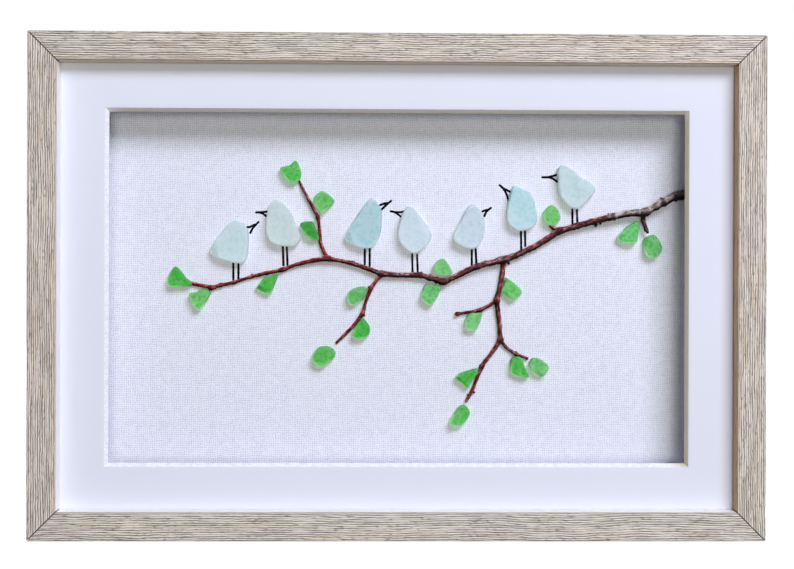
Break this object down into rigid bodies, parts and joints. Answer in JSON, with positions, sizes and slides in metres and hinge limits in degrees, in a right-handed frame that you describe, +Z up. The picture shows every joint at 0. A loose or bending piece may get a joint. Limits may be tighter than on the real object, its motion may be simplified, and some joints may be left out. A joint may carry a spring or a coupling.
{
  "type": "framed glass art",
  "caption": "Shadow-box picture for a wall or shelf: sea-glass birds and leaves laid around a real twig on canvas, behind a bevelled white mat in a washed-oak frame.",
  "frame": {"origin": "under the middle of the frame, on the surface it stands on, midway between the rails' front faces and the back of the hanger", "axes": "+X to the viewer's right, +Y from the picture's front to the wall behind it, +Z up"},
  "size_m": [0.406, 0.0446, 0.279],
  "materials": {
    "frame_wood": "greige washed oak, satin, with a fine embossed grain",
    "mat_board": "white mat board, matte, bevel-cut window",
    "spacer_board": "white board, matte",
    "canvas": "white primed canvas, plain weave, with black ink strokes",
    "back_board": "brown kraft-faced board, matte",
    "twig_bark": "reddish-brown bark, turning grey-brown towards the thick end",
    "aqua_glass": "frosted pale aqua sea glass",
    "green_glass": "frosted green sea glass",
    "steel": "zinc-plated, satin"
  },
  "bodies": {
    "root": {"frame_rail_top": "frame_wood", "frame_rail_bottom": "frame_wood", "frame_rail_left": "frame_wood", "frame_rail_right": "frame_wood", "mat": "mat_board", "spacer_top": "spacer_board", "spacer_bottom": "spacer_board", "spacer_left": "spacer_board", "spacer_right": "spacer_board", "canvas_board": "canvas", "back_board": "back_board", "twig": "twig_bark", "glass_bird_1": "aqua_glass", "glass_bird_2": "aqua_glass", "glass_bird_3": "aqua_glass", "glass_bird_4": "aqua_glass", "glass_bird_5": "aqua_glass", "glass_bird_6": "aqua_glass", "glass_bird_7": "aqua_glass", "glass_leaf_1": "green_glass", "glass_leaf_2": "green_glass", "glass_leaf_3": "green_glass", "glass_leaf_4": "green_glass", "glass_leaf_5": "green_glass", "glass_leaf_6": "green_glass", "glass_leaf_7": "green_glass", "glass_leaf_8": "green_glass", "glass_leaf_9": "green_glass", "glass_leaf_10": "green_glass", "glass_leaf_11": "green_glass", "glass_leaf_12": "green_glass", "glass_leaf_13": "green_glass", "glass_leaf_14": "green_glass", "glass_leaf_15": "green_glass", "glass_leaf_16": "green_glass", "glass_leaf_17": "green_glass", "glass_leaf_18": "green_glass", "glass_leaf_19": "green_glass", "glass_leaf_20": "green_glass", "retaining_tab_top_left": "steel", "retaining_tab_top_right": "steel", "retaining_tab_right": "steel", "retaining_tab_bottom_right": "steel", "retaining_tab_bottom_left": "steel", "retaining_tab_left": "steel", "sawtooth_hanger": "steel", "hanger_nail_left": "steel", "hanger_nail_right": "steel"}
  },
  "joints": []
}
